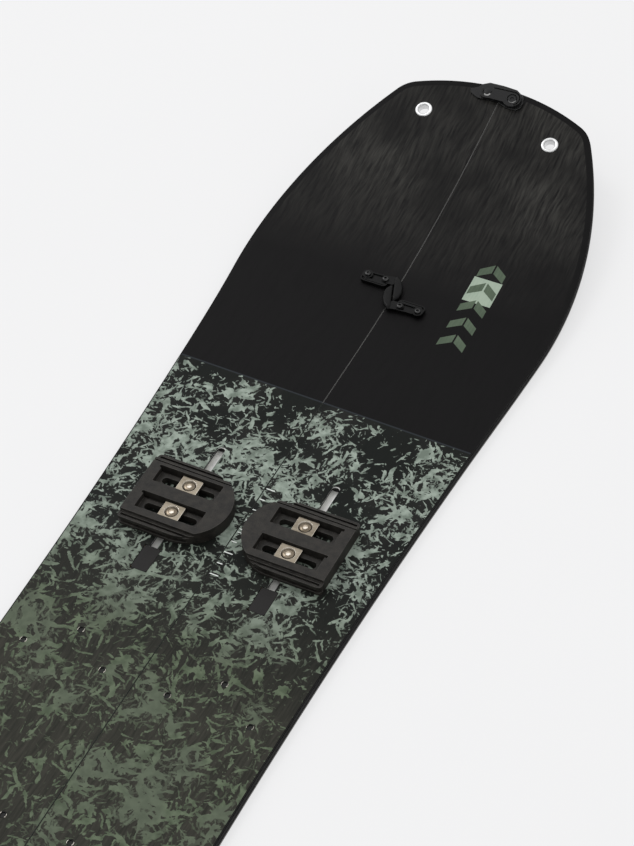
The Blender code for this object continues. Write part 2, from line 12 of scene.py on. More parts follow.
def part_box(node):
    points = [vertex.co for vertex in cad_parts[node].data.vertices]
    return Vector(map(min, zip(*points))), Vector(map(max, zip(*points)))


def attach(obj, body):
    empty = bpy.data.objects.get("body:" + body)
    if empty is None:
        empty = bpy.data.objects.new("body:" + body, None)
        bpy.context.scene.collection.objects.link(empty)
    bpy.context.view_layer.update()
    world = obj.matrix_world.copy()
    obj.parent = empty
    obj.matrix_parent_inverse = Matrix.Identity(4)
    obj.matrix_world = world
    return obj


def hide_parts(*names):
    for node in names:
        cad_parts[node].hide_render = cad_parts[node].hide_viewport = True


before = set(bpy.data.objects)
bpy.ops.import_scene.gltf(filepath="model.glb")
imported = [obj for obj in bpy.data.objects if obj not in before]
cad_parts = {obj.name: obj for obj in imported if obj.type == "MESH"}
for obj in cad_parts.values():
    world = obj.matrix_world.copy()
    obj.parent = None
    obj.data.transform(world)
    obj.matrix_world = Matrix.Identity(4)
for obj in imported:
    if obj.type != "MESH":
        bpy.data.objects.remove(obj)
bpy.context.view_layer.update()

# Outline of the whole board, as in the model. 1 is the nose end and -1 the tail end.
SEAM_HALF = 0.0003
WAIST_HALF = 0.1285
WAIST_Y = -0.0182
TIPS = {1: 0.789, -1: 0.751}
SIDECUTS = {1: 6.33, -1: 7.40}
SIDECUT_BACK = 0.271
SIDE_RADIUS = 0.423
CORNER_RADIUS = 0.030
FRONT_RADIUS = 0.208

# Layers, from the base up
DECK = 0.0086
BASE_TOP = 0.0012
EDGE_TOP = 0.0020
EDGE_WIDTH = 0.0022
SIDEWALL_BOTTOM = 0.0023
SIDEWALL_WIDTH = 0.0060
SIDEWALL_TOP = 0.0075
TOPSHEET_BOTTOM = 0.0078
TIP_RIM = 0.0062            # smooth border of the topsheet round the tips
SIDE_RIM = 0.0016           # and along the sides
RIM_FADE = 0.10             # length over which one becomes the other
SEAM_CUT = 0.00012          # half of the slit in the topsheet
SEAM_BEVEL = 0.0003

# Rocker: an arc at each end
ROCKER_BACK = 0.345
ROCKER_RUN = 0.354
ROCKERS = {1: 1.060, -1: 1.250}
TIP_TAPER = 0.75
ROCKER_STEP = 0.006

# Distances back from the tips
GROMMET_BACK = 0.045
HOOK_BACK = 0.2507
CLIP_BACK = 0.0115

# Fittings, from the deck up
LIFT = 0.0003               # gap between the deck and what is screwed to it
GROMMET_X = 0.0635
GROMMET_BORE = 0.0062
GROMMET_FLANGE = 0.0081
HOOK_TOP = 0.0049
HOOK_LEAN = math.radians(20.0)
HOOK_SCREWS = ((-0.0300, 0.0120), (-0.0126, 0.0120))
CLIP_REACH = 0.0125         # from the seam to the stud and to the pivot
CLIP_PIN = 0.0026
CLIP_BORE = 0.0029
CLIP_JAW = 0.0066
CLIP_HUB = 0.0086
SLOT_HALF = 0.0036
SLOT_GAP = 0.0003
RAIL_WALL = 0.0010
RAIL_LIP = 0.0016
SCREW_SPACING = 0.0304
SOCKET_RADIUS = 0.0023

# Pucks: a D shape with its straight side away from the seam
PUCK_OUTER = 0.040
PUCK_HALF = 0.037
PUCK_ROUND_X = -0.009
PUCK_ACROSS = 0.16          # longer than a puck, for cuts that run right across it
PUCK_POCKET = (0.058, 0.0174)
PUCK_SLOT = (0.049, 0.0072)
PUCK_GROOVE = (0.1178, 0.0022)

# Printed and set-in details
BLACK_NOSE_START = 0.3995
PRINT_SLANT = -0.012
INK = 0.00006
TICKS_START = 0.1946
TICK_PITCH = 0.01235
TICK_COUNT = 9
BOXED_TICK = 4
INSERTS = ((0.102, 0.0741), (0.065, 0.1017), (0.0294, 0.0740))
INSERT_RADIUS = 0.0031
EMBLEM_X = 0.0718
EMBLEM_START = 0.5095
EMBLEM_PITCH = 0.0214
EMBLEM_COUNT = 5

# Splatter: directions of its strokes in degrees, and how much longer than wide they are
STROKE_TURNS = (8, 37, 66, 98, 127, 156)
STROKE_STRETCH = 5.0
BOLD_SCALE, BOLD_LEVEL = 190.0, 0.652
FINE_SCALE, FINE_LEVEL = 380.0, 0.672
UNEVENNESS = 0.38           # how far blotches and drifts change the cover of paint
DRIFT_SCALE = 22.0
INK_EDGE = 0.024
FRONT_TONES_END = -0.165    # distances toward the nose from the line where the black starts
BACK_TONES_START = -0.280
STREAKS = (1.0, 0.085, 0.085)

# Studio: sky strength falls evenly away from its bright side, above and beyond the nose
SKY_BRIGHT_SIDE = (-0.30, 0.50, 0.81)
SKY_MIDDLE = 0.516
SKY_SWING = 0.600
LIGHTS = {"key": ((-1.8, 1.2, 2.6), 1.2, 14.0), "fill": ((1.2, -1.4, 2.6), 3.0, 8.0)}
LIGHTS_TARGET = (0.0, 0.3, 0.0)
CAMERA_PLACE = (0.7341, -0.8662, 1.5765)
CAMERA_TURN = (-30.366, 47.431, -4.668)     # azimuth, elevation and roll in degrees
CAMERA_LENS = 106.74

SIDES = {"left": -1, "right": 1}
ENDS = {"nose": 1, "tail": -1}


# ---------------------------------------------------------------- outlines

def arc(centre, radius, start, end, steps):
    """Points on an arc, both ends included."""
    turn = (end - start) / steps
    angles = [start + turn * i for i in range(steps + 1)]
    return [(centre[0] + radius * math.cos(a), centre[1] + radius * math.sin(a)) for a in angles]


def circle_meet(first, first_radius, second, second_radius):
    """Where two circles meet, on the side further along the board."""
    span = second - first
    along = (first_radius ** 2 - second_radius ** 2 + span.length ** 2) / (2 * span.length)
    across = math.sqrt(first_radius ** 2 - along ** 2)
    axis = span.normalized()
    return first + axis * along + Vector((axis.y, -axis.x)) * across


def angle_from(centre, point):
    return math.atan2(point[1] - centre[1], point[0] - centre[0])


def from_tip(end, back):
    """Distance along the base from the waist, measured back from the nose or the tail."""
    return end * (TIPS[end] - back)


def tip_outline(end, margin, seam):
    """Right half of one tip, from the end of the sidecut round to the seam, drawn at +Y."""
    tip, sidecut = TIPS[end], SIDECUTS[end]
    run = tip - SIDECUT_BACK
    lean = math.atan(run / sidecut)
    join = WAIST_HALF + run ** 2 / (2 * sidecut)
    side = Vector((join - SIDE_RADIUS * math.cos(lean), run + SIDE_RADIUS * math.sin(lean)))
    front = Vector((0.0, tip - FRONT_RADIUS))
    corner = circle_meet(front, FRONT_RADIUS - CORNER_RADIUS, side, SIDE_RADIUS - CORNER_RADIUS)
    side_end = angle_from(side, corner)
    front_start = angle_from(front, corner)
    front_end = math.acos(seam / (FRONT_RADIUS - margin))
    points = arc(side, SIDE_RADIUS - margin, -lean, side_end, 40)
    points += arc(corner, CORNER_RADIUS - margin, side_end, front_start, 14)[1:]
    points += arc(front, FRONT_RADIUS - margin, front_start, front_end, 20)[1:]
    return points


def ski_outline(side, margin, seam):
    """Outline of one ski, drawn in by a margin from its true edge, with its cut at seam."""
    nose = tip_outline(1, margin, seam)
    tail = [(x, -y) for x, y in reversed(tip_outline(-1, margin, seam))]
    start, end = from_tip(-1, SIDECUT_BACK), from_tip(1, SIDECUT_BACK)
    steps = 40
    middle = []
    for i in range(1, steps):
        y = start + (end - start) * i / steps
        sidecut = SIDECUTS[1 if y > 0 else -1]
        middle.append((WAIST_HALF + y * y / (2 * sidecut) - margin, y))
    points = tail + middle + nose
    if side < 0:
        points = [(-x, y) for x, y in reversed(points)]
    return points


def rim_outline(side, seam):
    """Inner line of the smooth border: wide round the tips, narrow along the sides."""
    narrow = ski_outline(side, SIDE_RIM, seam)
    wide = ski_outline(side, TIP_RIM, seam)
    points = []
    for near, far in zip(narrow, wide):
        tip = TIPS[1 if near[1] > 0 else -1]
        share = min(max((abs(near[1]) - tip + ROCKER_BACK) / RIM_FADE, 0.0), 1.0)
        points.append(tuple(Vector(near).lerp(Vector(far), share)))
    return points


def rectangle(centre, size):
    x, y = size[0] / 2, size[1] / 2
    return [(centre[0] + u, centre[1] + v) for u, v in ((-x, -y), (x, -y), (x, y), (-x, y))]


def stadium(centre, size, steps=12):
    """A slot along X with round ends."""
    radius = size[1] / 2
    reach = size[0] / 2 - radius
    right = arc((centre[0] + reach, centre[1]), radius, -math.pi / 2, math.pi / 2, steps)
    left = arc((centre[0] - reach, centre[1]), radius, math.pi / 2, math.pi * 1.5, steps)
    return right + left


def rounded(points, radius, steps=5):
    """A closed outline with its corners rounded off."""
    result = []
    for i, point in enumerate(points):
        corner = Vector(point)
        back = (Vector(points[i - 1]) - corner).normalized()
        ahead = (Vector(points[(i + 1) % len(points)]) - corner).normalized()
        half = back.angle(ahead) / 2
        reach = radius / math.tan(half)
        start, end = corner + back * reach, corner + ahead * reach
        for k in range(steps + 1):
            share = k / steps
            result.append(tuple(start.lerp(corner, share).lerp(corner.lerp(end, share), share)))
    return result


def inset(points, distance):
    """A closed outline drawn in by a small distance."""
    result = []
    for i, point in enumerate(points):
        corner = Vector(point)
        before = (corner - Vector(points[i - 1])).normalized()
        after = (Vector(points[(i + 1) % len(points)]) - corner).normalized()
        along = (before + after).normalized()
        reach = distance / max(along.dot(before), 0.6)
        result.append(tuple(corner + Vector((-along.y, along.x)) * reach))
    return result


def mirror(points):
    return [(-x, y) for x, y in reversed(points)]


def turn_half(points):
    return [(-x, -y) for x, y in points]


def shift(points, x, y):
    return [(u + x, v + y) for u, v in points]


# ---------------------------------------------------------------- meshes

def new_object(name, bm):
    bmesh.ops.recalc_face_normals(bm, faces=bm.faces)
    mesh = bpy.data.meshes.new(name)
    bm.to_mesh(mesh)
    bm.free()
    item = bpy.data.objects.new(name, mesh)
    bpy.context.scene.collection.objects.link(item)
    return item


def add_prism(bm, outline, bottom, top):
    low = [bm.verts.new((x, y, bottom)) for x, y in outline]
    high = [bm.verts.new((x, y, top)) for x, y in outline]
    bm.faces.new(low[::-1])
    bm.faces.new(high)
    for i in range(len(outline)):
        bm.faces.new((low[i - 1], low[i], high[i], high[i - 1]))


def prism(name, outline, bottom, top):
    """An upright prism over a closed outline."""
    bm = bmesh.new()
    add_prism(bm, outline, bottom, top)
    return new_object(name, bm)


def prisms(name, outlines, bottom, top):
    """Several separate prisms in one mesh."""
    bm = bmesh.new()
    for outline in outlines:
        add_prism(bm, outline, bottom, top)
    return new_object(name, bm)


def loft(name, loops, closed):
    """Walls between loops of (outline, height). The ends are capped, or joined when closed."""
    bm = bmesh.new()
    rows = [[bm.verts.new((x, y, height)) for x, y in outline] for outline, height in loops]
    for k in range(0 if closed else 1, len(rows)):
        first, second = rows[k - 1], rows[k]
        for i in range(len(second)):
            bm.faces.new((first[i - 1], first[i], second[i], second[i - 1]))
    if not closed:
        bm.faces.new(rows[0])
        bm.faces.new(rows[-1])
    return new_object(name, bm)


def pillow(name, outline, bottom, top):
    """A prism with a domed top: smaller and smaller copies of the outline, each less far down."""
    middle = sum((Vector(point) for point in outline), Vector((0.0, 0.0))) / len(outline)
    loops = [(outline, bottom)]
    for share, drop in ((1.0, 0.0014), (0.94, 0.0006), (0.82, 0.0001), (0.66, 0.0)):
        loops.append(([tuple(middle.lerp(Vector(point), share)) for point in outline], top - drop))
    return loft(name, loops, closed=False)


def turned(name, profile, x, y, steps=40):
    """A solid of revolution about an upright axis. The profile is (radius, z) points."""
    bm = bmesh.new()
    loops = []
    for radius, z in profile:
        if radius == 0:
            loops.append([bm.verts.new((x, y, z))] * steps)
            continue
        circle = arc((x, y), radius, 0, math.tau * (steps - 1) / steps, steps - 1)
        loops.append([bm.verts.new((u, v, z)) for u, v in circle])
    for k in range(len(loops)):
        first, second = loops[k - 1], loops[k]
        for i in range(steps):
            distinct = list(dict.fromkeys((first[i - 1], first[i], second[i], second[i - 1])))
            if len(distinct) > 2:
                bm.faces.new(distinct)
    return new_object(name, bm)


def drill(radius, bottom, top, x, y):
    """A cutter for a round hole."""
    return turned("cutter", disc(radius, bottom, top), x, y)


def disc(radius, bottom, top):
    """Profile of a plain cylinder, for turned()."""
    return ((0, bottom), (radius, bottom), (radius, top), (0, top))


def dome(radius, bottom, shoulder, top, steps=6):
    """Profile of a button head: straight to the shoulder and then rounded over to the top."""
    profile = [(0, bottom), (radius, bottom)]
    for i in range(steps + 1):
        angle = math.pi / 2 * i / steps
        profile.append((radius * math.cos(angle), shoulder + (top - shoulder) * math.sin(angle)))
    profile[-1] = (0, top)
    return profile


def combine(item, others, operation):
    """Apply one exact Boolean for each of the other objects, and remove them."""
    for other in others:
        change = item.modifiers.new(operation, "BOOLEAN")
        change.operation = operation
        change.solver = "EXACT"
        change.object = other
    graph = bpy.context.evaluated_depsgraph_get()
    mesh = bpy.data.meshes.new_from_object(item.evaluated_get(graph))
    item.modifiers.clear()
    item.data = mesh
    for other in others:
        bpy.data.objects.remove(other, do_unlink=True)


def soften(item, width, segments=2, worn_and_highlit=False):
    """Round the sharp edges of a piece. When asked, the rounded edges take its second material: wear and a
    painted highlight along the edges.
    """
    change = item.modifiers.new("soft_edges", "BEVEL")
    change.width = width
    change.segments = segments
    change.limit_method = "ANGLE"
    change.angle_limit = math.radians(40)
    change.harden_normals = True
    if worn_and_highlit:
        change.material = 1


# ---------------------------------------------------------------- rocker

def bend_point(point):
    """Carry a point of the flat board to its place in the model."""
    end = 1 if point.y > 0 else -1
    start = TIPS[end] - ROCKER_BACK
    run = abs(point.y) - start
    if run <= 0:
        return point + Vector((0.0, WAIST_Y, 0.0))
    radius = ROCKERS[end]
    angle = run / radius
    taper = 1 - (1 - TIP_TAPER) * run / ROCKER_RUN
    height = min(point.z, DECK) * taper + max(point.z - DECK, 0.0)
    along = start + (radius - height) * math.sin(angle)
    return Vector((point.x, end * along + WAIST_Y, radius - (radius - height) * math.cos(angle)))


def flat_box(node):
    """Box of a node on the flat middle of the board, measured from the waist."""
    low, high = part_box(node)
    back = Vector((0.0, WAIST_Y, 0.0))
    return Vector(low) - back, Vector(high) - back


def flat_place(node):
    """Middle of a node, and its lowest and highest corners, as in flat_box()."""
    low, high = flat_box(node)
    return (low.x + high.x) / 2, (low.y + high.y) / 2, low, high


def crease(item):
    """Cut the faces of a long piece across, so that it can bend."""
    bm = bmesh.new()
    bm.from_mesh(item.data)
    for end, tip in TIPS.items():
        for i in range(int(ROCKER_BACK / ROCKER_STEP) + 1):
            geometry = bm.verts[:] + bm.edges[:] + bm.faces[:]
            place = end * (tip - ROCKER_BACK + i * ROCKER_STEP)
            bmesh.ops.bisect_plane(bm, geom=geometry, dist=1e-6,
                                   plane_co=(0, place, 0), plane_no=(0, 1, 0))
    bm.to_mesh(item.data)
    bm.free()


def finish(item, body, paints, stands_for=(), sharp=35):
    """Bend a piece with the board, shade and paint it, and tie it to its body."""
    for vertex in item.data.vertices:
        vertex.co = bend_point(vertex.co)
    item.data.shade_smooth()
    item.data.set_sharp_from_angle(angle=math.radians(sharp))
    for paint in paints:
        item.data.materials.append(paint)
    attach(item, body)
    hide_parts(*stands_for)


# ---------------------------------------------------------------- shader nodes

def linear(red, green, blue):
    """A display colour, 0 to 255, as the linear colour that a shader takes."""
    channels = [value / 255 for value in (red, green, blue)]
    return (*[c / 12.92 if c <= 0.04045 else ((c + 0.055) / 1.055) ** 2.4 for c in channels], 1.0)


def add(tree, kind, inputs, **settings):
    """A new node. An input is a value or another node's output."""
    made = tree.nodes.new(kind)
    for name, value in settings.items():
        setattr(made, name, value)
    for name, value in inputs.items():
        if isinstance(value, bpy.types.NodeSocket):
            tree.links.new(value, made.inputs[name])
        else:
            made.inputs[name].default_value = value
    return made


def maths(tree, operation, *values):
    inputs = dict(enumerate(values))
    return add(tree, "ShaderNodeMath", inputs, operation=operation).outputs[0]


def remap(tree, value, low, high, new_low=0.0, new_high=1.0):
    inputs = {"Value": value, "From Min": low, "From Max": high, "To Min": new_low, "To Max": new_high}
    return add(tree, "ShaderNodeMapRange", inputs).outputs[0]


def mix(tree, share, first, second):
    inputs = {0: share, 6: first, 7: second}
    return add(tree, "ShaderNodeMix", inputs, data_type="RGBA").outputs[2]


def tones(tree, share, dark, light):
    """A colour between two display colours."""
    return mix(tree, share, linear(*dark), linear(*light))


def noise(tree, place, scale, detail=3.0, roughness=0.5, output="Fac"):
    inputs = {"Vector": place, "Scale": scale, "Detail": detail, "Roughness": roughness}
    return add(tree, "ShaderNodeTexNoise", inputs).outputs[output]


def stretched(tree, place, stretch):
    inputs = {0: place, 1: stretch}
    return add(tree, "ShaderNodeVectorMath", inputs, operation="MULTIPLY").outputs[0]


def warped(tree, place, scale, reach):
    """The place moved about by a noise, by up to about half of reach."""
    colour = noise(tree, place, scale, 2.0, 0.5, "Color")
    centred = add(tree, "ShaderNodeVectorMath", {0: colour, 1: (0.5, 0.5, 0.5)}, operation="SUBTRACT")
    inputs = {0: centred.outputs[0], 1: (reach, reach, reach), 2: place}
    return add(tree, "ShaderNodeVectorMath", inputs, operation="MULTIPLY_ADD").outputs[0]


def start_material(name):
    material = bpy.data.materials.new(name)
    material.use_nodes = True
    tree = material.node_tree
    place = add(tree, "ShaderNodeTexCoord", {}).outputs["Object"]
    return material, tree, tree.nodes["Principled BSDF"], place


def dress(tree, shader, colour, rough, specular, relief, strength, depth):
    """Connect colour, roughness and relief to a shader, and set its specular level."""
    inputs = {"Height": relief, "Strength": strength, "Distance": depth}
    normal = add(tree, "ShaderNodeBump", inputs).outputs[0]
    for value, socket in ((colour, "Base Color"), (rough, "Roughness"), (normal, "Normal")):
        tree.links.new(value, shader.inputs[socket])
    shader.inputs["Specular IOR Level"].default_value = specular


def surface(name, dark, light, rough, metallic=0.0, scale=900.0, stretch=(1, 1, 1), depth=0.00002,
            specular=0.5, coarse=60.0):
    """A worn, grained surface: two tones, uneven gloss and a fine relief."""
    material, tree, shader, place = start_material(name)
    grain = noise(tree, stretched(tree, place, stretch), scale, 4.0, 0.6)
    wear = noise(tree, place, coarse, 3.0, 0.55)
    tone = maths(tree, "ADD", maths(tree, "MULTIPLY", grain, 0.5), maths(tree, "MULTIPLY", wear, 0.5))
    colour = tones(tree, remap(tree, tone, 0.35, 0.65), dark, light)
    shader.inputs["Metallic"].default_value = metallic
    dress(tree, shader, colour, remap(tree, tone, 0.35, 0.65, *rough), specular, grain, 0.5, depth)
    return material


# ---------------------------------------------------------------- the printed topsheet

def splatter(tree, place, scale, level):
    """Share of paint: torn strokes in several directions, over blotches of solid colour.

    A higher level leaves less paint.
    """
    torn = warped(tree, warped(tree, place, 45.0, 0.012), scale * 2.1, 0.4 / scale)
    marks = 0.0
    for turn in STROKE_TURNS:
        inputs = {
            "Vector": torn,
            "Location": (turn * 0.01, 0.0, 0.0),
            "Rotation": (0.0, 0.0, math.radians(turn)),
            "Scale": (1.0, STROKE_STRETCH, 1.0),
        }
        turned_place = add(tree, "ShaderNodeMapping", inputs, vector_type="TEXTURE").outputs[0]
        marks = maths(tree, "MAXIMUM", marks, noise(tree, turned_place, scale, 1.0))
    blotch = maths(tree, "SUBTRACT", noise(tree, torn, scale * 0.42, 4.0, 0.6), 0.5)
    drift = maths(tree, "SUBTRACT", noise(tree, place, DRIFT_SCALE, 2.0), 0.5)
    paint = maths(tree, "MULTIPLY_ADD", blotch, UNEVENNESS, marks)
    paint = maths(tree, "MULTIPLY_ADD", drift, UNEVENNESS, paint)
    return remap(tree, maths(tree, "SUBTRACT", paint, level), 0.0, INK_EDGE)


def from_line(tree, place):
    """Distance toward the nose from the line where the black nose starts."""
    parts = add(tree, "ShaderNodeSeparateXYZ", {0: place})
    slanted = maths(tree, "MULTIPLY_ADD", parts.outputs[0], -PRINT_SLANT, parts.outputs[1])
    return maths(tree, "SUBTRACT", slanted, BLACK_NOSE_START + WAIST_Y)


def deck_material():
    """Splattered topsheet that turns into a plain black, brushed nose, with a painted sheen over the nose
    tip and the back of the print.
    """
    material, tree, shader, place = start_material("deck_print")
    ahead = from_line(tree, place)
    curved = warped(tree, place, DRIFT_SCALE, 0.008)
    streaks = noise(tree, stretched(tree, curved, STREAKS), 430.0, 5.0, 0.66)

    thin_front = remap(tree, ahead, BACK_TONES_START, FRONT_TONES_END, 0.0, 0.006)
    sparse = maths(tree, "ADD", remap(tree, ahead, -0.010, 0.0, 0.0, 0.08), thin_front)
    bold = splatter(tree, place, BOLD_SCALE, maths(tree, "ADD", sparse, BOLD_LEVEL))
    fine = splatter(tree, place, FINE_SCALE, maths(tree, "ADD", sparse, FINE_LEVEL))
    faint = maths(tree, "MULTIPLY", fine, remap(tree, ahead, -0.120, -0.260, 0.85, 0.50))
    paint = maths(tree, "MAXIMUM", bold, faint)
    drift = noise(tree, place, DRIFT_SCALE, 2.0)
    tone = noise(tree, place, 130.0, 3.0)
    front = tones(tree, remap(tree, tone, 0.36, 0.64), (112, 123, 113), (157, 169, 158))
    back = tones(tree, remap(tree, tone, 0.36, 0.64), (75, 86, 68), (100, 112, 91))
    back = mix(tree, remap(tree, drift, 0.50, 0.62, 0.0, 0.6), back, linear(90, 97, 84))
    ink = mix(tree, remap(tree, ahead, FRONT_TONES_END, BACK_TONES_START), front, back)
    # The ground grows lighter and more streaked toward the tail: brushed texture with a painted sheen over
    # it.
    ground_front = tones(tree, remap(tree, drift, 0.40, 0.62), (20, 23, 21), (33, 34, 32))
    ground_back_with_sheen = tones(tree, remap(tree, streaks, 0.35, 0.65), (38, 39, 33), (60, 59, 53))
    ground = mix(tree, remap(tree, ahead, -0.180, -0.340), ground_front, ground_back_with_sheen)
    printed = mix(tree, paint, ground, ink)

    # Brushed streaks on the black nose grow lighter toward the tip: real streaks with a painted sheen on the
    # rising tip.
    streaks_with_tip_sheen = maths(tree, "MULTIPLY", remap(tree, ahead, 0.150, 0.290), remap(tree, streaks, 0.34, 0.70))
    cloudy_streaks_with_sheen = maths(tree, "MULTIPLY", streaks_with_tip_sheen, remap(tree, noise(tree, place, 11.0, 3.0), 0.38, 0.60, 0.30, 1.0))
    nose = tones(tree, cloudy_streaks_with_sheen, (13, 12, 13), (66, 65, 62))
    colour = mix(tree, remap(tree, ahead, -0.0002, 0.0002), printed, nose)
    near_line = maths(tree, "ABSOLUTE", ahead)
    colour = mix(tree, remap(tree, near_line, 0.0006, 0.0009, 1.0, 0.0), colour, linear(42, 46, 50))
    rough = remap(tree, streaks, 0.3, 0.7, 0.38, 0.56)
    dress(tree, shader, colour, rough, 0.08, streaks, 0.30, 0.00010)
    return material


def cut_material():
    """Cut edge of the topsheet: dark outside, with the tone of the print or a pale line at the seam."""
    material, tree, shader, place = start_material("cut_edge")
    across = maths(tree, "ABSOLUTE", add(tree, "ShaderNodeSeparateXYZ", {0: place}).outputs[0])
    grain = noise(tree, stretched(tree, place, (1.0, 0.04, 1.0)), 900.0, 4.0, 0.6)
    nose = tones(tree, grain, (92, 92, 91), (114, 113, 111))
    printed = tones(tree, grain, (44, 48, 44), (62, 66, 61))
    outside = tones(tree, grain, (12, 12, 12), (22, 21, 21))
    seam = mix(tree, remap(tree, from_line(tree, place), -0.0002, 0.0002), printed, nose)
    colour = mix(tree, remap(tree, across, 0.002, 0.003), seam, outside)
    dress(tree, shader, colour, remap(tree, grain, 0.3, 0.7, 0.45, 0.60), 0.2, grain, 0.5, 0.00002)
    return material


# ---------------------------------------------------------------- materials

def base_material():
    """Sintered base with a fine ground structure along the board."""
    return surface("running_base", (17, 17, 18), (27, 27, 29), (0.28, 0.42), scale=900.0,
                   stretch=(1.0, 0.02, 1.0), depth=0.00003, specular=0.4)


def wood_material():
    """Core of long glued strips of light and dark wood."""
    material, tree, shader, place = start_material("wood_core")
    across = add(tree, "ShaderNodeSeparateXYZ", {0: place}).outputs[0]
    strip = maths(tree, "FRACT", maths(tree, "MULTIPLY", across, 1 / 0.024))
    species = remap(tree, strip, 0.48, 0.52)
    grain = noise(tree, stretched(tree, warped(tree, place, 9.0, 0.01), (1.0, 0.05, 1.0)), 330.0, 4.0, 0.6)
    pale = tones(tree, grain, (214, 178, 128), (186, 145, 96))
    dark = tones(tree, grain, (176, 132, 86), (142, 100, 62))
    colour = mix(tree, species, pale, dark)
    dress(tree, shader, colour, remap(tree, grain, 0.3, 0.7, 0.55, 0.75), 0.5, grain, 0.4, 0.0001)
    return material


def make_materials():
    along = (1.0, 0.04, 1.0)
    return {
        "deck": deck_material(),
        "rim": surface("smooth_rim", (9, 9, 9), (16, 15, 16), (0.34, 0.46), specular=0.08),
        "cut": cut_material(),
        "sidewall": surface("sidewall_plastic", (9, 9, 9), (17, 16, 16), (0.50, 0.66), scale=700.0,
            stretch=along, depth=0.00004, specular=0.06),
        "edge": surface("edge_steel", (62, 61, 60), (100, 98, 96), (0.26, 0.44), 1.0, 800.0, along),
        "base": base_material(),
        "core": wood_material(),
        "rail": surface("channel_aluminium", (224, 224, 221), (243, 243, 240), (0.32, 0.46), 0.2,
            stretch=along),
        "nut": surface("nut_steel", (120, 120, 120), (165, 164, 162), (0.3, 0.5), 1.0),
        "grommet": surface("grommet_aluminium", (205, 206, 207), (236, 236, 236), (0.18, 0.32), 1.0),
        "washer": surface("washer_nickel", (118, 110, 97), (158, 149, 134), (0.28, 0.44), 1.0, 900.0,
            (0.1, 1.0, 1.0)),
        # Bright socket paint is a painted highlight, and the darker rim paint is painted shade.
        "screw": surface("screw_socket_painted_highlight", (226, 216, 202), (250, 244, 234), (0.14, 0.28), 1.0),
        "screw_rim_shade": surface("screw_rim_painted_shade", (98, 89, 76), (134, 123, 108), (0.14, 0.30), 1.0),
        "insert": surface("insert_steel_painted_highlight", (70, 68, 62), (196, 192, 182), (0.2, 0.4), 1.0, 500.0,
            coarse=260.0),
        # Painted shade for the floors of the latch groove and stud well.
        "painted_recess_shade": surface("clip_painted_recess_shade", (6, 6, 6), (11, 11, 11), (0.5, 0.7), specular=0.05),
        # Painted shade: a near-black paint for the bores of the inserts and the walls of the channel slots.
        "hole": surface("bore_and_slot_painted_shade", (16, 16, 15), (30, 29, 28), (0.5, 0.7), 0.4),
        "puck": surface("puck_nylon", (16, 15, 14), (56, 53, 49), (0.48, 0.66), scale=1400.0,
            depth=0.00006, specular=0.24, coarse=150.0),
        "plug": surface("plug_rubber", (34, 33, 33), (43, 42, 41), (0.5, 0.65), scale=1100.0,
            depth=0.00004, specular=0.14),
        "hook": surface("hook_anodised", (5, 5, 5), (15, 15, 16), (0.30, 0.48), 0.0, 1200.0,
            specular=0.14),
        # Random light patches on the dark heads of the hook screws are painted glints.
        "hook_screw": surface("hook_screw_painted_glints", (12, 12, 13), (80, 80, 80), (0.18, 0.32), 1.0, 420.0,
            coarse=300.0),
        "clip": surface("clip_nylon", (20, 20, 21), (31, 31, 32), (0.40, 0.56), scale=1400.0,
            depth=0.00005, specular=0.2),
        "clip_base": surface("clip_base_nylon", (18, 18, 19), (28, 28, 29), (0.42, 0.58), scale=1400.0,
            depth=0.00005, specular=0.25),
        # Lighter edge paints: wear with a painted highlight along the rounded edges of pucks, hooks and
        # clips.
        "puck_edge_wear_and_highlight": surface("puck_edge_wear_and_painted_highlight", (66, 64, 62), (98, 96, 92), (0.40, 0.56), specular=0.3),
        "dark_edge_wear_and_highlight": surface("dark_edge_wear_and_painted_highlight", (72, 72, 72), (118, 118, 117), (0.34, 0.50), specular=0.3),
        "pin": surface("pin_blackened", (20, 20, 21), (32, 32, 33), (0.36, 0.50), specular=0.2),
        # Bright steel for the painted crescent highlight on the pin rims.
        "pin_painted_highlight": surface("pin_steel_painted_highlight", (140, 140, 139), (186, 186, 184), (0.16, 0.30), 1.0),
        "pale_ink": surface("pale_ink", (152, 168, 152), (167, 181, 164), (0.4, 0.55), scale=600.0,
            stretch=along, specular=0.13),
        "green_ink": surface("green_ink", (74, 88, 72), (91, 105, 87), (0.4, 0.55), scale=600.0,
            stretch=along, specular=0.13),
        "white_ink": surface("white_ink", (212, 219, 213), (238, 242, 238), (0.4, 0.55), scale=600.0,
            specular=0.13),
    }


# ---------------------------------------------------------------- skis

def slot_outline():
    """Opening in the topsheet over one channel: the slot, run into the seat of the plug."""
    middle, _, low, high = flat_place("front_right_channel_plug")
    seat = (high.x - low.x) / 2 + SLOT_GAP
    front = flat_box("front_right_channel_rail")[1].y - SLOT_HALF
    points = [(seat, low.y - SLOT_GAP), (seat, high.y), (SLOT_HALF, high.y)]
    points += arc((0.0, front), SLOT_HALF, 0.0, math.pi, 16)
    points += [(-SLOT_HALF, high.y), (-seat, high.y), (-seat, low.y - SLOT_GAP)]
    return [(middle + x, y) for x, y in points]


def grommet_cutters(side):
    return [drill(GROMMET_BORE, -0.01, 0.02, side * GROMMET_X, from_tip(end, GROMMET_BACK))
            for end in ENDS.values()]


def deck_cutters(side):
    slot = slot_outline()
    if side < 0:
        slot = mirror(slot)
    rear_slot = [(x, -y) for x, y in reversed(slot)]
    cutters = [prism("cutter", outline, 0.004, 0.02) for outline in (slot, rear_slot)]
    cutters += grommet_cutters(side)
    for end in ENDS.values():
        for x, y in INSERTS:
            cutters.append(drill(INSERT_RADIUS + 0.0001, 0.0, 0.02, side * x, end * y))
    return cutters


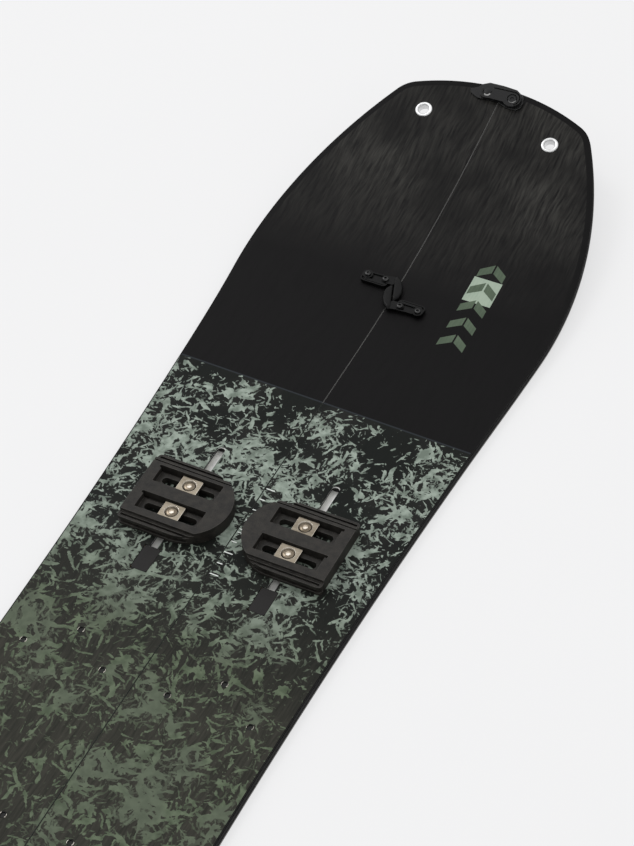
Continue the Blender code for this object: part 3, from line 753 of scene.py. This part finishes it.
def make_topsheet(ski, side, materials):
    """Printed sheet with a smooth rim, and a bevelled cut edge all round."""
    loops = [
        (ski_outline(side, 0.0006, SEAM_CUT), TOPSHEET_BOTTOM),
        (ski_outline(side, 0.0006, SEAM_CUT), DECK - 0.0003),
        (ski_outline(side, 0.0009, SEAM_CUT + SEAM_BEVEL), DECK),
        (rim_outline(side, SEAM_CUT + SEAM_BEVEL + 0.0001), DECK),
    ]
    item = loft(ski + "_topsheet_print", loops, closed=False)
    for name in ("deck", "rim", "cut"):
        item.data.materials.append(materials[name])
    rim_top = len(loops[0][0]) * 2
    for polygon in item.data.polygons:
        if len(polygon.vertices) > 4:
            polygon.material_index = 0
        elif polygon.index >= rim_top:
            polygon.material_index = 1
        else:
            polygon.material_index = 2
    combine(item, deck_cutters(side), "DIFFERENCE")
    crease(item)
    finish(item, ski, (), [ski + "_topsheet"])


def make_ski(ski, side, materials):
    """Layers of one ski round its core, which stays as it is in the model."""
    make_topsheet(ski, side, materials)

    margin = EDGE_WIDTH + 0.0002
    base = prism(ski + "_running_base", ski_outline(side, margin, SEAM_HALF + margin), 0.0, BASE_TOP)
    combine(base, grommet_cutters(side), "DIFFERENCE")
    crease(base)
    finish(base, ski, [materials["base"]], [ski + "_base"])

    def ring_loops(section):
        return [(ski_outline(side, margin, SEAM_HALF + margin), height) for margin, height in section]

    wall = loft(ski + "_side", ring_loops((
        (0.0003, SIDEWALL_BOTTOM), (0.0003, SIDEWALL_TOP), (SIDEWALL_WIDTH, SIDEWALL_TOP),
        (SIDEWALL_WIDTH, SIDEWALL_BOTTOM))), closed=True)
    crease(wall)
    finish(wall, ski, [materials["sidewall"]], [ski + "_sidewall"])

    edge = loft(ski + "_edge", ring_loops((
        (0.0002, 0.0), (0.0, 0.0002), (0.0, EDGE_TOP - 0.0002), (0.0002, EDGE_TOP),
        (EDGE_WIDTH, EDGE_TOP), (EDGE_WIDTH, 0.0))), closed=True)
    crease(edge)
    finish(edge, ski, [materials["edge"]], [ski + "_steel_edge"])


def make_grommet(half, end_name, materials):
    """Metal ring with a rounded flange on the deck."""
    name = f"{half}_{end_name}_grommet"
    x, y = SIDES[half] * GROMMET_X, from_tip(ENDS[end_name], GROMMET_BACK)
    bottom, top = DECK + 0.0001, DECK + 0.0011
    profile = [(0.0050, 0.0004), (0.0059, 0.0004), (0.0059, bottom), (GROMMET_FLANGE, bottom)]
    profile += [(GROMMET_FLANGE - 0.0014 * (1 - math.cos(angle)), bottom + 0.0010 * math.sin(angle))
                for angle in (0.5, 1.0, 1.4)]
    profile += [(0.0058, top), (0.0053, top - 0.0003), (0.0050, top - 0.0009)]
    item = turned(name + "_ring", profile, x, y, 48)
    finish(item, half + "_ski", [materials["grommet"]], [name], sharp=50)


def make_inserts(ski, side, materials):
    """Threaded inserts for the touring binding, flush in the deck. Painted highlights keep the ring bright
    on two sides only; the rest of the ring and the bore take a dark paint as painted shade.
    """
    bottom, floor = DECK - 0.00100, DECK - 0.00085
    bore = INSERT_RADIUS - 0.0008
    for end_name, end in ENDS.items():
        for i, (x, y) in enumerate(INSERTS):
            profile = ((0, bottom), (INSERT_RADIUS, bottom), (INSERT_RADIUS, DECK - 0.0001),
                       (INSERT_RADIUS - 0.0002, DECK + 0.0001), (bore + 0.0002, DECK + 0.0001),
                       (bore, DECK - 0.0002), (bore, floor), (0, floor))
            item = turned(f"{ski}_{end_name}_insert_{i + 1}", profile, side * x, end * y, 28)
            # Painted light: ring faces toward either side keep the bright steel as painted highlights, and
            # the other faces and the bore floor take the dark painted shade.
            for polygon in item.data.polygons:
                out = polygon.center.xy - Vector((side * x, end * y))
                if polygon.center.z < DECK - 0.0003 or abs(out.x) < 0.75 * out.length:
                    polygon.material_index = 1
            finish(item, ski, [materials["insert"], materials["hole"]])


# ---------------------------------------------------------------- prints

def make_ticks(materials):
    """Scale between the pucks: long and short strokes, with a boxed middle one."""
    strokes = []
    for i in range(TICK_COUNT):
        length = 0.0050 if i % 2 else 0.0078
        y = TICKS_START + i * TICK_PITCH
        offsets = (-0.0018, 0.0018) if i == BOXED_TICK else (0.0,)
        for offset in offsets:
            strokes.append(rectangle((0.0011 + length / 2, y + offset), (length, 0.0010)))
    item = prisms("stance_scale", strokes, DECK + INK / 2, DECK + INK * 2)
    finish(item, "right_ski", [materials["white_ink"]])


def make_emblem(materials):
    """A stack of slanted bars on a pale patch."""
    patch_middle = (EMBLEM_X, EMBLEM_START + 2.9 * EMBLEM_PITCH)
    patch = prism("emblem_patch", rectangle(patch_middle, (0.027, 0.0285)), DECK + INK / 2, DECK + INK)
    bars = []
    bar = [(0.0008, -0.0011), (0.0124, -0.0089), (0.0124, 0.0000), (0.0008, 0.0086)]
    for i in range(EMBLEM_COUNT):
        for arm in (bar, mirror(bar)):
            bars.append(shift(arm, EMBLEM_X, EMBLEM_START + i * EMBLEM_PITCH))
    stack = prisms("emblem_bars", bars, DECK + INK * 1.2, DECK + INK * 2)
    for item, ink in ((patch, "pale_ink"), (stack, "green_ink")):
        crease(item)
        finish(item, "right_ski", [materials[ink]])


# ---------------------------------------------------------------- hooks

def hook_finger_outline():
    """Almond-shaped finger of the left hook, straight along the groove between the two fingers."""
    along = Vector((math.sin(HOOK_LEAN), -math.cos(HOOK_LEAN)))
    off = Vector((-along.y, along.x)) * 0.0004
    upper = off + along * -0.0184
    lower = off + along * 0.0088
    return [tuple(upper), tuple(lower), (0.0052, -0.0078), (0.0076, -0.0038), (0.0078, 0.0024),
            (0.0058, 0.0088), (0.0016, 0.0152), (-0.0034, 0.0190)]


def make_hook_screw(name, spot, top, ski, materials):
    """Button head with a hexagonal socket."""
    head = turned(name, dome(0.0029, top - 0.0010, top + 0.0001, top + 0.0011), *spot, 28)
    socket = prism("cutter", arc(spot, 0.0014, 0, math.tau * 5 / 6, 5), top + 0.0001, top + 0.002)
    combine(head, [socket], "DIFFERENCE")
    finish(head, ski, [materials["hook_screw"]])


def make_hook(name, side, y, ski, materials):
    """One half of a board hook: a walled arm with a rib and two screws, and a domed finger."""
    turn = turn_half if side > 0 else list
    low, high = DECK + LIFT, DECK + HOOK_TOP
    wall_top, tray = high - 0.0012, high - 0.0024

    def placed(points):
        return shift(turn(points), 0.0, y)

    arm = rounded([(-0.0350, 0.0040), (-0.0090, 0.0040), (-0.0090, 0.0172), (-0.0200, 0.0160),
                   (-0.0350, 0.0158)], 0.0042)
    neck = rounded([(-0.0108, 0.0080), (-0.0040, 0.0084), (0.0000, 0.0150), (-0.0026, 0.0184),
                    (-0.0110, 0.0168)], 0.0008)
    hook = prism(name + "_body", placed(arm), low, wall_top)
    combine(hook, [prism("cutter", placed(inset(arm, 0.0011)), tray, high)], "DIFFERENCE")
    others = [
        prism("neck", placed(neck), low + 0.0023, high - 0.0009),
        prism("rib", placed(stadium((-0.0212, 0.0068), (0.0215, 0.0024))), tray - 0.0003, wall_top),
        pillow("finger", placed(rounded(hook_finger_outline(), 0.0007, 4)), low + 0.0023, high),
    ]
    outer, inner = placed(HOOK_SCREWS)
    others += [turned("boss", disc(0.0048, low, high - 0.0007), *outer),
               turned("boss", disc(0.0036, tray - 0.0003, high - 0.0007), *inner)]
    combine(hook, others, "UNION")
    # The rounded edges take the lighter edge paint: wear and a painted highlight.
    soften(hook, 0.0005, worn_and_highlit=True)
    finish(hook, ski, [materials["hook"], materials["dark_edge_wear_and_highlight"]], [name])
    for i, spot in enumerate((outer, inner)):
        make_hook_screw(f"{name}_screw_{i + 1}", spot, high, ski, materials)


# ---------------------------------------------------------------- tip clips

def make_clip(end_name, end, stud_half, pivot_half, materials):
    """Tip clip: two base plates, a stud, a pivot and the latch that joins them."""
    def placed(points):
        return shift(points if end > 0 else turn_half(points), 0.0, from_tip(end, CLIP_BACK))

    low, top = DECK + LIFT, DECK + 0.0056
    stud, pivot = placed([(-CLIP_REACH, 0.0), (CLIP_REACH, 0.0)])
    stud_plate = [(-0.0001, -0.0054), (-0.0001, 0.0128), (-0.0150, 0.0122), (-0.0205, 0.0090),
                  (-0.0240, 0.0045), (-0.0300, 0.0012), (-0.0290, -0.0022), (-0.0260, -0.0042),
                  (-0.0200, -0.0066)]
    pivot_plate = [(0.0001, 0.0128), (0.0001, -0.0054), (0.0080, -0.0086), (0.0190, -0.0088),
                   (0.0224, -0.0050), (0.0226, 0.0010), (0.0205, 0.0072), (0.0125, 0.0121)]
    for half, outline, spot in ((stud_half, stud_plate, stud), (pivot_half, pivot_plate, pivot)):
        name = f"{end_name}_clip_{half}_base"
        plate = prism(name + "_plate", placed(rounded(outline, 0.0003, 2)), low, low + 0.0015)
        combine(plate, [drill(CLIP_BORE, DECK, DECK + 0.01, *spot)], "DIFFERENCE")
        # The rounded edges take the lighter edge paint: wear and a painted highlight.
        soften(plate, 0.0005, worn_and_highlit=True)
        finish(plate, half + "_ski", [materials["clip_base"], materials["dark_edge_wear_and_highlight"]], [name])

    latch = prism(f"{end_name}_latch_arm", placed(latch_outline()), DECK + 0.0021, top)
    above, groove_floor, well_floor = top + 0.001, top - 0.0016, top - 0.0011
    hole = ((0, DECK), (CLIP_BORE, DECK), (CLIP_BORE, groove_floor), (0.00485, groove_floor),
            (0.00485, above), (0, above))
    well = ((0, well_floor), (0.0043, well_floor), (0.0045, above), (0, above))
    well_mouth = rectangle((-CLIP_REACH, 0.0050), (0.0086, 0.0100))
    cutters = [prism("cutter", placed(latch_groove()), groove_floor, above),
               prism("cutter", placed(well_mouth), well_floor, above),
               turned("cutter", hole, *pivot), turned("cutter", well, *stud)]
    combine(latch, cutters, "DIFFERENCE")
    # Painted shade: the floors of the groove and of the stud well take a near-black paint.
    for polygon in latch.data.polygons:
        if groove_floor - 0.0002 < polygon.center.z < top - 0.0002 and polygon.normal.z > 0.5:
            polygon.material_index = 2
    # The rounded edges take the lighter edge paint: wear and a painted highlight.
    soften(latch, 0.0004, worn_and_highlit=True)
    paints = [materials["clip"], materials["dark_edge_wear_and_highlight"], materials["painted_recess_shade"]]
    finish(latch, f"{end_name}_latch", paints, [f"{end_name}_clip_latch"])

    pin_paints = [materials["pin"], materials["pin_painted_highlight"]]
    profile = [(0, low), (CLIP_PIN, low), (CLIP_PIN, DECK + 0.0046), (0.0039, DECK + 0.0047),
               (0.0039, DECK + 0.0048), (0.0028, DECK + 0.0054), (0, DECK + 0.0054)]
    head = turned(f"{end_name}_stud_pin", profile, *stud, 28)
    paint_rim_highlight(head, stud, end)
    finish(head, stud_half + "_ski", pin_paints, [f"{end_name}_clip_stud"])
    profile = [(0, low), (CLIP_PIN, low), (CLIP_PIN, DECK + 0.0043), (0.0044, DECK + 0.0043),
               (0.0044, DECK + 0.0049), (0.0039, DECK + 0.0053), (0.0018, DECK + 0.0053),
               (0.0015, DECK + 0.0046), (0, DECK + 0.0045)]
    screw = turned(f"{end_name}_pivot_screw", profile, *pivot, 28)
    paint_rim_highlight(screw, pivot, end)
    finish(screw, pivot_half + "_ski", pin_paints, [f"{end_name}_clip_pivot"])


def paint_rim_highlight(item, spot, end):
    """Painted highlight: a bright second material on the sloping rim of a pin, as a crescent on its side
    away from the tip of the board.
    """
    highlight_side = Vector((0.35, -0.94)) * end
    for polygon in item.data.polygons:
        out = polygon.center.xy - Vector(spot)
        if 0.2 < polygon.normal.z < 0.90 and out.dot(highlight_side) > 0.6 * out.length:
            polygon.material_index = 1


def latch_outline():
    """Jaw round the stud, open to the tip of the board, joined to a hub round the pivot."""
    jaw = Vector((-CLIP_REACH, 0.0))
    outer_lean, inner_lean = math.radians(30.0), math.radians(12.0)
    outer = Vector((math.sin(-outer_lean), math.cos(outer_lean)))
    inner = Vector((math.sin(inner_lean), math.cos(inner_lean)))
    outer_lip = jaw + Vector((-outer.y, outer.x)) * CLIP_BORE
    outer_lip += outer * math.sqrt(CLIP_JAW ** 2 - CLIP_BORE ** 2)
    inner_lip = jaw + Vector((inner.y, -inner.x)) * CLIP_BORE + inner * 0.0074
    points = arc(jaw, CLIP_JAW, angle_from(jaw, outer_lip), math.radians(262), 16)
    points.append((-0.0080, -0.0058))
    points += arc((CLIP_REACH, 0.0), CLIP_HUB, math.radians(220), math.radians(445), 26)
    points.append(tuple(inner_lip))
    points += arc(jaw, CLIP_BORE, -inner_lean, -math.pi + outer_lean, 12)
    return points


def latch_groove():
    """Narrow groove round the hub and along the side of the latch toward the tip of the board."""
    start, end = math.radians(300), math.radians(445)
    hub = (CLIP_REACH, 0.0)
    outer, inner = CLIP_HUB - 0.0008, CLIP_HUB - 0.0020
    near_jaw = [(-0.0078, 0.0066), (-0.0078, 0.0055)]
    return arc(hub, outer, start, end, 18) + near_jaw + arc(hub, inner, end, start, 18)


# ---------------------------------------------------------------- binding stations

def make_puck(station, side, materials):
    """D-shaped block with a raised middle, lips along two sides and two slotted pockets."""
    name = station + "_puck"
    _, centre_y, low, high = flat_place(name)
    centre_x = high.x - PUCK_OUTER if side > 0 else low.x + PUCK_OUTER
    bottom, top = low.z, high.z

    def placed(points):
        return shift(points if side > 0 else mirror(points), centre_x, centre_y)

    d_shape = arc((PUCK_ROUND_X, 0.0), PUCK_HALF, math.pi / 2, math.pi * 1.5, 40)
    corners = [(PUCK_OUTER, -PUCK_HALF), (PUCK_OUTER, PUCK_HALF), (0.0, PUCK_HALF), (0.0, -PUCK_HALF)]
    steps = 5
    d_shape += rounded(corners, 0.004, steps)[:2 * (steps + 1)]
    puck = prism(name + "_body", placed(d_shape), bottom, top)
    cutters = []

    def cut(outline, floor, ceiling):
        cutters.append(prism("cutter", placed(outline), floor, ceiling))

    above = top + 0.002
    for v in (-1, 1):
        row = v * SCREW_SPACING / 2
        # the lowered lip, the groove in it, and the groove round its side
        cut(rectangle((0, v * 0.0405), (PUCK_ACROSS, 0.020)), bottom + 0.0097, above)
        cut(rectangle((-0.0211, v * 0.0338), PUCK_GROOVE), bottom + 0.0072, top - 0.001)
        cut(rectangle((0, v * 0.0435), (PUCK_ACROSS, 0.020)), bottom + 0.0028, bottom + 0.0062)
        # the pocket for a washer, its slot, and a deeper trench along its nose side
        cut(rectangle((0.001, row), PUCK_POCKET), bottom + 0.0067, above)
        cut(stadium((0.001, row - 0.0006), PUCK_SLOT), bottom - 0.001, top)
        cut(rectangle((0.002, row + 0.0078), (0.060, 0.0026)), bottom + 0.0040, above)
    cut(rectangle((0.004, 0.0278), (PUCK_ACROSS, 0.0012)), top - 0.0022, above)
    combine(puck, cutters, "DIFFERENCE")
    # The rounded edges take the lighter edge paint: wear and a painted highlight along the lips.
    soften(puck, 0.0005, worn_and_highlit=True)
    finish(puck, name, [materials["puck"], materials["puck_edge_wear_and_highlight"]], [name])


def make_washer(node, carriage, materials):
    """Bevelled clamping plate with a countersunk hole."""
    x, y, low, high = flat_place(node)
    outline = rounded(rectangle((x, y), (high.x - low.x, high.y - low.y)), 0.0008, 3)
    plate = prism(node + "_plate", outline, low.z, high.z)
    cone = ((0, low.z - 0.001), (0.0033, low.z - 0.001), (0.0033, low.z + 0.0004), (0.0060, high.z - 0.0004),
            (0.0060, high.z + 0.001), (0, high.z + 0.001))
    combine(plate, [turned("cutter", cone, x, y)], "DIFFERENCE")
    # The rounded edges take the bright socket paint: wear and a painted highlight along the edges.
    soften(plate, 0.0008, worn_and_highlit=True)
    finish(plate, carriage, [materials["washer"], materials["screw"]], [node])


def make_screw(node, carriage, materials):
    """Countersunk screw: a painted highlight makes its hexagonal socket bright, and painted shade darkens
    the rim of its head.
    """
    x, y, low, high = flat_place(node)
    top = high.z
    profile = [(0, low.z), (0.0028, low.z), (0.0028, top - 0.0026), (0.0048, top - 0.0006),
               (0.0049, top - 0.0003), (0.0046, top - 0.0001), (0.0036, top + 0.0002), (0, top + 0.0003)]
    screw = turned(node + "_bolt", profile, x, y, 40)
    socket = prism("cutter", arc((x, y), SOCKET_RADIUS, 0, math.tau * 5 / 6, 5), top - 0.0008, top + 0.002)
    combine(screw, [socket], "DIFFERENCE")
    # Painted light: the socket keeps the bright paint as a painted highlight, and the rim of the head takes
    # the darker paint as painted shade.
    for polygon in screw.data.polygons:
        if (polygon.center.xy - Vector((x, y))).length > SOCKET_RADIUS + 0.0001:
            polygon.material_index = 1
    finish(screw, carriage, [materials["screw"], materials["screw_rim_shade"]], [node])


def make_plug(station, ski, materials):
    """Cover with rounded corners at the end of the channel."""
    node = station + "_channel_plug"
    x, y, low, high = flat_place(node)
    outline = rounded(rectangle((x, y), (high.x - low.x, high.y - low.y)), 0.0028, 6)
    plug = prism(node + "_cover", outline, low.z, high.z)
    soften(plug, 0.0003)
    finish(plug, ski, [materials["plug"]], [node])


def make_rail(station, end, ski, materials):
    """Lipped channel, closed at the end away from the plug. The walls of its slot are painted dark, as
    painted shade.
    """
    node = station + "_channel_rail"
    middle, _, low, high = flat_place(node)
    near, far = sorted((abs(low.y), abs(high.y)))
    start, stop = near - 0.001, far - 0.0012

    def placed(points):
        return [(middle + x, end * y) for x, y in points]

    body = rectangle((0.0, (near + far) / 2), (high.x - low.x, far - near))
    cavity = rectangle((0.0, (start + stop) / 2), (0.0120, stop - start))
    slot = [(SLOT_HALF, start)] + arc((0.0, far - SLOT_HALF - RAIL_WALL), SLOT_HALF, 0.0, math.pi, 12)
    slot.append((-SLOT_HALF, start))
    rail = prism(node + "_channel", placed(body), low.z, high.z)
    floor = low.z + RAIL_WALL
    cutters = [prism("cutter", placed(cavity), floor, high.z - RAIL_LIP),
               prism("cutter", placed(slot), floor + 0.0001, high.z + 0.001)]
    combine(rail, cutters, "DIFFERENCE")
    # Painted shade on the upright walls of the slot.
    for polygon in rail.data.polygons:
        if abs(polygon.normal.z) < 0.5 and abs(polygon.center.x - middle) < SLOT_HALF + SLOT_GAP:
            polygon.material_index = 1
    finish(rail, ski, [materials["rail"], materials["hole"]], [node])


def repaint(node, material):
    """Give a CAD node that stays visible its finished material."""
    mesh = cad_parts[node].data
    mesh.materials.clear()
    mesh.materials.append(material)


def make_station(place, half, materials):
    station = f"{place}_{half}"
    ski = half + "_ski"
    make_puck(station, SIDES[half], materials)
    make_plug(station, ski, materials)
    make_rail(station, 1 if place == "front" else -1, ski, materials)
    for end_name in ENDS:
        make_washer(f"{station}_{end_name}_washer", station + "_carriage", materials)
        make_screw(f"{station}_{end_name}_screw", station + "_carriage", materials)
    repaint(station + "_slider_nut", materials["nut"])


# ---------------------------------------------------------------- floor, lights, camera

def make_stage():
    """Pale floor under a soft white sky."""
    floor = prism("floor", rectangle((0, 0), (24.0, 24.0)), -0.05, 0.0)
    material, tree, shader, place = start_material("pale_floor")
    tone = tones(tree, noise(tree, place, 3.0), (142, 142, 143), (146, 146, 147))
    tree.links.new(tone, shader.inputs["Base Color"])
    shader.inputs["Emission Color"].default_value = (0.62, 0.62, 0.622, 1.0)
    shader.inputs["Emission Strength"].default_value = 1.0
    shader.inputs["Roughness"].default_value = 0.9
    shader.inputs["Specular IOR Level"].default_value = 0.0
    floor.data.materials.append(material)

    world = bpy.data.worlds.new("studio")
    world.use_nodes = True
    sky = world.node_tree
    direction = add(sky, "ShaderNodeTexCoord", {}).outputs["Generated"]
    facing = add(sky, "ShaderNodeVectorMath", {0: direction, 1: SKY_BRIGHT_SIDE}, operation="DOT_PRODUCT")
    background = sky.nodes["Background"]
    background.inputs["Color"].default_value = (1.0, 1.0, 1.0, 1.0)
    strength = maths(sky, "MULTIPLY_ADD", facing.outputs["Value"], SKY_SWING, SKY_MIDDLE)
    sky.links.new(strength, background.inputs["Strength"])
    bpy.context.scene.world = world


def make_light(name, place, size, power):
    """Round soft light, pointed at the front half of the board."""
    data = bpy.data.lights.new(name, "AREA")
    data.shape = "DISK"
    data.size = size
    data.energy = power
    light = bpy.data.objects.new(name, data)
    light.location = place
    light.rotation_mode = "QUATERNION"
    light.rotation_quaternion = (Vector(LIGHTS_TARGET) - Vector(place)).to_track_quat("-Z", "Y")
    bpy.context.scene.collection.objects.link(light)


def make_camera():
    """Looks across the board from its right rear, down to the nose."""
    azimuth, elevation, roll = (math.radians(angle) for angle in CAMERA_TURN)
    forward = Vector((math.sin(azimuth) * math.cos(elevation), math.cos(azimuth) * math.cos(elevation),
                      -math.sin(elevation)))
    level = Vector((math.cos(azimuth), -math.sin(azimuth), 0.0))
    upright = level.cross(forward)
    right = level * math.cos(roll) + upright * math.sin(roll)
    up = upright * math.cos(roll) - level * math.sin(roll)
    data = bpy.data.cameras.new("camera")
    data.sensor_width = 36.0
    data.lens = CAMERA_LENS
    data.clip_start, data.clip_end = 0.05, 60.0
    camera = bpy.data.objects.new("camera", data)
    turn = Matrix((right, up, -forward)).transposed()
    place = Vector(CAMERA_PLACE) + Vector((0.0, WAIST_Y, 0.0))
    camera.matrix_world = Matrix.Translation(place) @ turn.to_4x4()
    bpy.context.scene.collection.objects.link(camera)
    bpy.context.scene.camera = camera


def main():
    materials = make_materials()
    for half, side in SIDES.items():
        ski = half + "_ski"
        make_ski(ski, side, materials)
        make_inserts(ski, side, materials)
        repaint(ski + "_core", materials["core"])
        for end_name in ENDS:
            make_grommet(half, end_name, materials)
        for place, end in (("front", 1), ("rear", -1)):
            make_hook(f"{place}_hook_{half}", side, from_tip(end, HOOK_BACK), ski, materials)
            make_station(place, half, materials)
    make_clip("nose", ENDS["nose"], "left", "right", materials)
    make_clip("tail", ENDS["tail"], "right", "left", materials)
    make_ticks(materials)
    make_emblem(materials)
    make_stage()
    for name, settings in LIGHTS.items():
        make_light(name, *settings)
    make_camera()
    bpy.context.scene.view_settings.view_transform = "Standard"


main()
